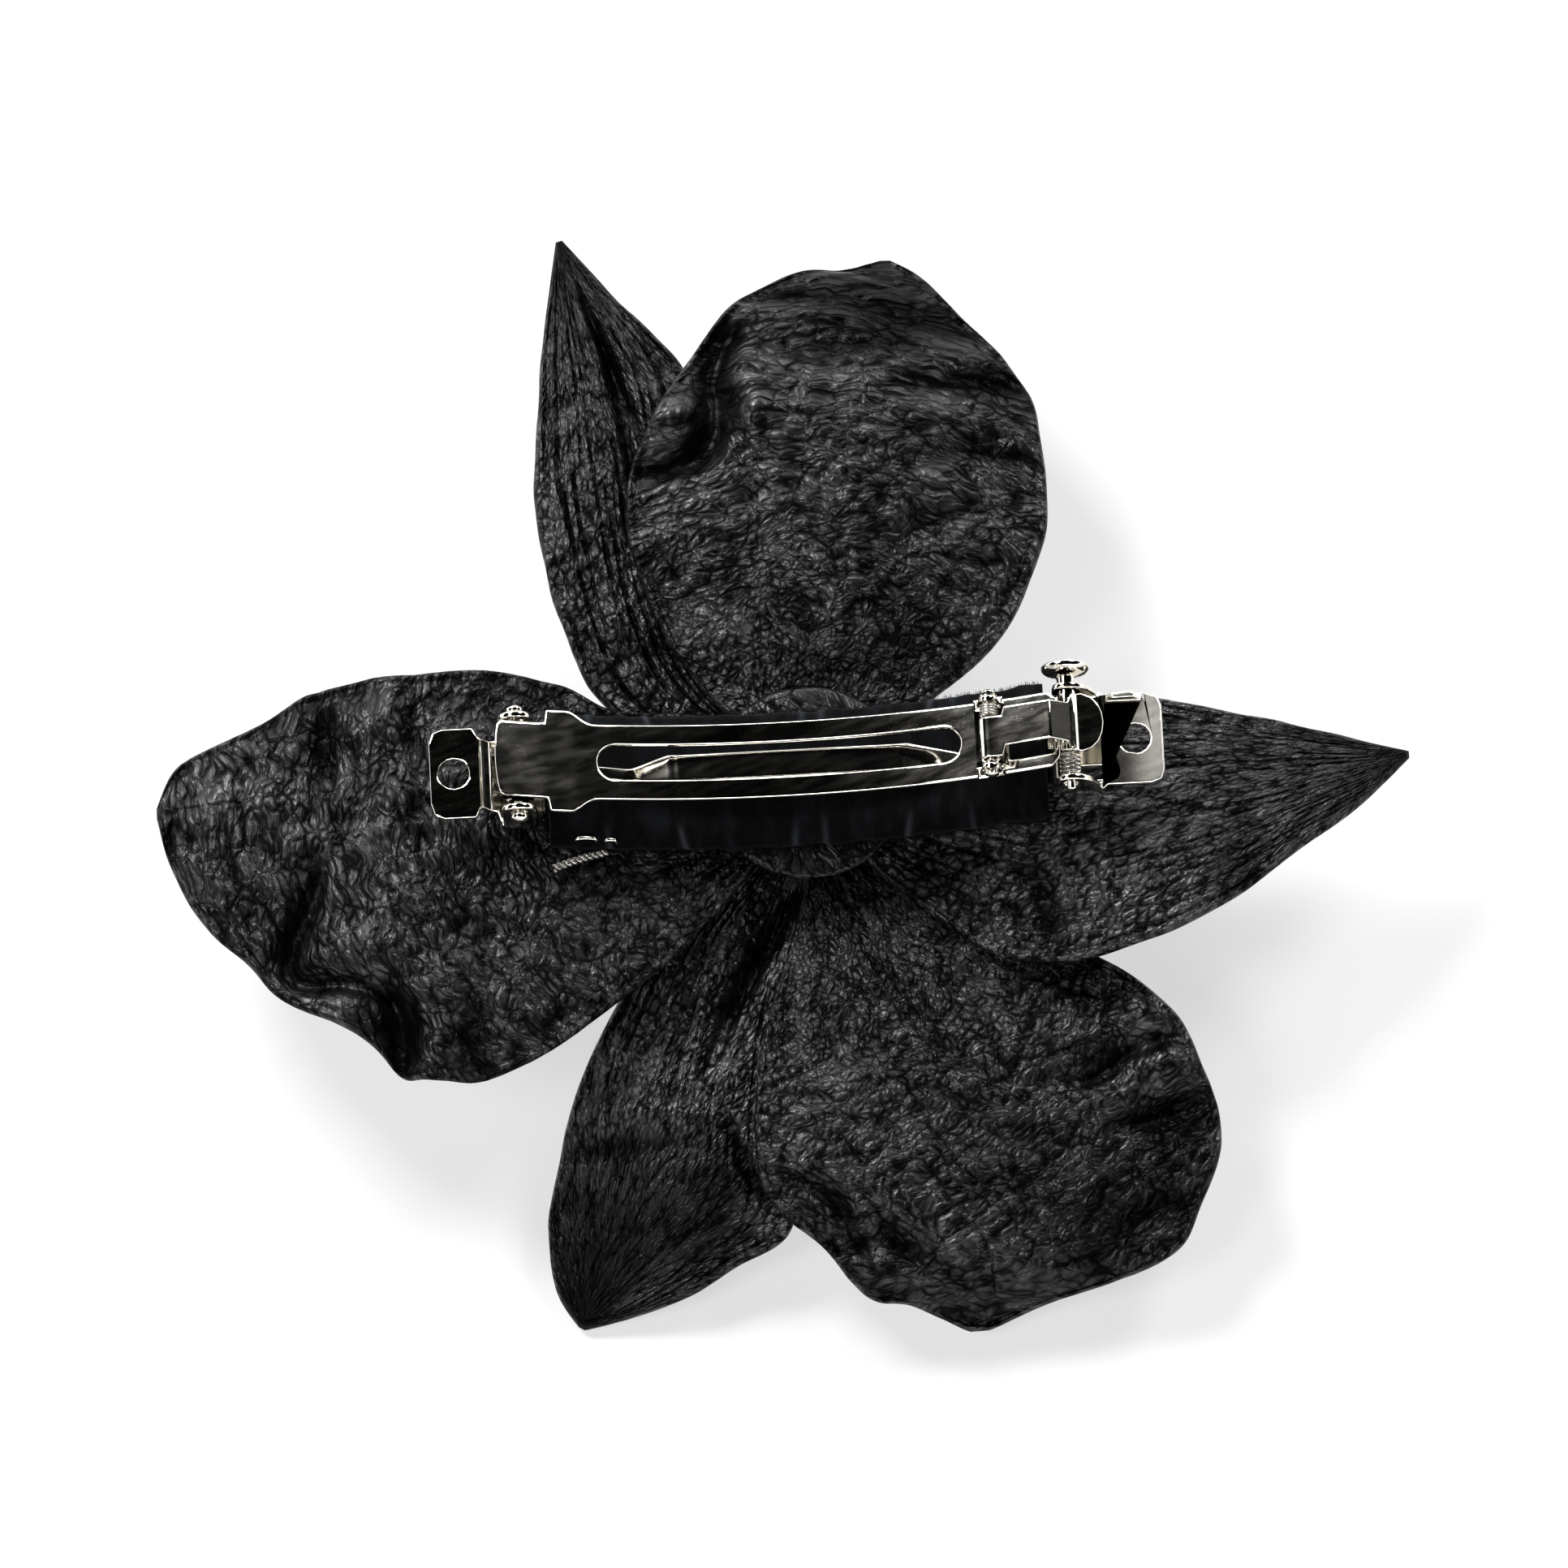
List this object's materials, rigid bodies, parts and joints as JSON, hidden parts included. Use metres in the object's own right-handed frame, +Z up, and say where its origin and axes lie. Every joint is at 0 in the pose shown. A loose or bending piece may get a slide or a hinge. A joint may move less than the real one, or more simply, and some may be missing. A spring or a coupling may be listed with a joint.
{
  "type": "leather flower barrette",
  "caption": "Black leather flower hair barrette with pointed and rounded petals and a sprung metal clip, hinged at one end and latched at the other by a lever and a push knob.",
  "frame": {"origin": "middle of the underside of the box round the whole part, which lies flower side down on its inner petals and lower petal tips", "axes": "+X along the clip from its hinge to its latch, +Y across the clip towards the push knob, +Z up and out of the clip's hair side"},
  "size_m": [0.1372, 0.1264, 0.0339],
  "materials": {
    "leather": "crinkled satin black leather",
    "velvet": "black velvet ribbon",
    "nickel": "mirror-polished pale nickel",
    "wire": "drawn spring wire"
  },
  "bodies": {
    "flower": {"base_plate": "nickel", "hinge_pin": "nickel", "knob_spring": "wire", "petal_top_left": "leather", "petal_top": "leather", "petal_right": "leather", "petal_bottom_right": "leather", "petal_bottom_left": "leather", "petal_left": "leather", "inner_petal_1": "leather", "inner_petal_2": "leather", "inner_petal_3": "leather", "bud": "leather", "stem": "wire", "backing_disc": "leather", "backing_strip": "velvet", "wire_tail": "wire"},
    "arm": {"arm": "nickel", "latch_pin": "nickel", "lever_spring": "wire"},
    "tension": {"tension_bar": "nickel"},
    "lever": {"latch_lever": "nickel"},
    "knob": {"release_knob": "nickel"}
  },
  "joints": [
    {"name": "arm_hinge", "type": "hinge", "parent": "flower", "child": "arm", "pos_m": [-0.02885, -0.00435, 0.0286], "axis": [0, -1, 0], "range_deg": [0, 90]},
    {"name": "tension_hinge", "type": "hinge", "parent": "flower", "child": "tension", "pos_m": [-0.02885, -0.00435, 0.0286], "axis": [0, -1, 0], "range_deg": [0, 18]},
    {"name": "lever_pivot", "type": "hinge", "parent": "arm", "child": "lever", "pos_m": [0.02275, -0.00435, 0.0308], "axis": [0, -1, 0], "range_deg": [0, 15], "stiffness_Nm_per_rad": 0.0005, "springref_deg": -28.65},
    {"name": "knob_press", "type": "slide", "parent": "flower", "child": "knob", "axis": [0, -1, 0], "range_m": [0, 0.001], "stiffness_N_per_m": 20, "springref_m": -0.004, "deforming": ["knob_spring"]}
  ],
  "couplings": [
    {"joint": "tension_hinge", "follows": "arm_hinge", "ratio": 0.2}
  ]
}
